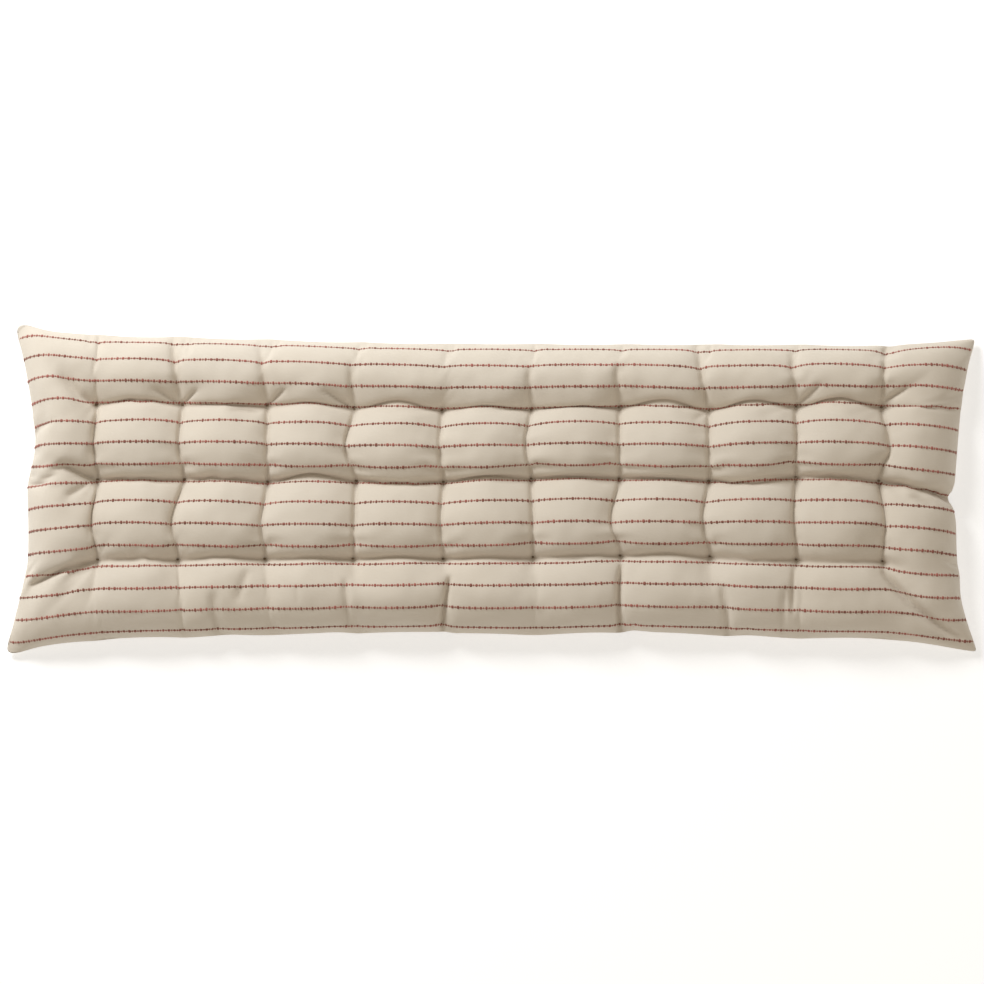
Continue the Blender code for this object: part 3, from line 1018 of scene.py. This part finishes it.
def tuft_stitches(tree, name, cover, panel, side, material, seed):
    """A short natural stitch that sits at the bottom of each dimple."""
    columns, rows = np.meshgrid(np.arange(1, COLUMNS), np.arange(1, ROWS))
    u = columns.ravel() / COLUMNS * CLOTH_LENGTH
    v = np.array(ROWS_IN_STRIPES)[rows.ravel()] * STRIPE_PITCH
    place = cloth_place(cover, panel, side, u, v)[0]
    out = np.tile(np.array((0.0, 0.0, float(side))), (len(u), 1))
    along = np.tile(np.array((1.0, 0.0, 0.0)), (len(u), 1))
    size = np.tile(np.array(STITCH), (len(u), 1))
    obj = marked_points(name, place + STITCH_RISE * out, along, out, size)
    return sew(tree, obj, material, Segments=10, Rings=6, Seed=seed, Uneven=0.25)


# The whole pillow


def add_camera():
    camera = bpy.data.cameras.new("camera")
    camera.lens = CAMERA_LENS
    camera.sensor_width = 36.0
    camera.clip_end = 50.0
    obj = bpy.data.objects.new("camera", camera)
    forward = Vector((0, math.sin(CAMERA_TILT), -math.cos(CAMERA_TILT)))
    obj.location = LOOKS_AT - forward * CAMERA_DISTANCE
    obj.rotation_euler = forward.to_track_quat("-Z", "Y").to_euler()
    bpy.context.scene.collection.objects.link(obj)
    bpy.context.scene.camera = obj


def add_light(name, place, size, energy, colour=(1.0, 1.0, 1.0)):
    light = bpy.data.lights.new(name, "AREA")
    light.energy = energy
    light.shape = "RECTANGLE"
    light.size, light.size_y = size
    light.color = colour
    obj = bpy.data.objects.new(name, light)
    obj.location = place
    obj.rotation_euler = (-Vector(place)).to_track_quat("-Z", "Y").to_euler()
    bpy.context.scene.collection.objects.link(obj)


def add_studio():
    """A white floor under soft light from the back, a little from the left."""
    mesh = bpy.data.meshes.new("floor")
    corners = [(-8, -8, 0), (8, -8, 0), (8, 8, 0), (-8, 8, 0)]
    mesh.from_pydata(corners, [], [(0, 1, 2, 3)])
    mesh.materials.append(white_floor())
    floor = bpy.data.objects.new("floor", mesh)
    bpy.context.scene.collection.objects.link(floor)
    add_light("window side", (-1.75, 2.3, 1.9), (1.1, 1.1), 81.0)
    add_light("warm side", (1.2, -3.0, 2.6), (2.5, 2.0), 8.0, (1.0, 0.83, 0.64))
    world = bpy.data.worlds.new("studio")
    world.use_nodes = True
    background = world.node_tree.nodes["Background"]
    background.inputs["Color"].default_value = (1.0, 0.9, 0.77, 1.0)
    background.inputs["Strength"].default_value = 0.44
    bpy.context.scene.world = world
    bpy.context.scene.view_settings.view_transform = "Standard"


def dress(obj):
    """Ties a finished piece to the pillow's only body."""
    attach(obj, "root")


def make_pillow():
    """Fills and finishes the cover, and lays the stripes and stitches on both its faces."""
    sewn = Cover(STEPS)
    upper, lower = unfilled(sewn)
    upper, lower = (eased(panel) for panel in fill(sewn, upper, lower))
    cover = Cover(STEPS * FINER)
    upper, lower = finer(upper), finer(lower)
    wrinkle(cover, upper, 1)
    wrinkle(cover, lower, -1)
    room = np.maximum(((upper - lower)[..., 2] - CLOTH_GAP) / 2, 0.0)
    # The sharpened panels also give the shares of painted shade for the cotton's colour
    painted_shade_shares = sharpen(cover, upper, 1, room), sharpen(cover, lower, -1, room)
    rest_on_floor(lower)
    rest_on_floor(upper)
    mesh = cover.mesh("cotton_cover", upper, lower, painted_shade_shares)
    mesh.materials.append(natural_cotton())
    pillow = bpy.data.objects.new("cotton_cover", mesh)
    bpy.context.scene.collection.objects.link(pillow)
    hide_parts("cushion")
    dress(pillow)
    yarn = stripe_yarn("red stripe yarn", YARN_LIGHT, YARN_DARK)
    knot = stripe_yarn("dark stripe knot", KNOT_LIGHT, KNOT_DARK)
    thread = stitch_thread()
    tree = stitch_tree()
    for word, panel, side, seed in (("upper", upper, 1, 1), ("lower", lower, -1, 5)):
        face = cover, panel, side
        dress(ribbon(word + "_stripe_yarns", *face, yarn))
        dress(stripe_knots(tree, word + "_stripe_knots", *face, 0.0, KNOT, knot, seed))
        dress(stripe_knots(tree, word + "_stripe_ticks", *face, 0.5, TICK, knot, seed + 1))
        dress(tuft_stitches(tree, word + "_tuft_stitches", *face, thread, seed + 2))
    bpy.data.node_groups.remove(tree)


add_camera()
add_studio()
make_pillow()
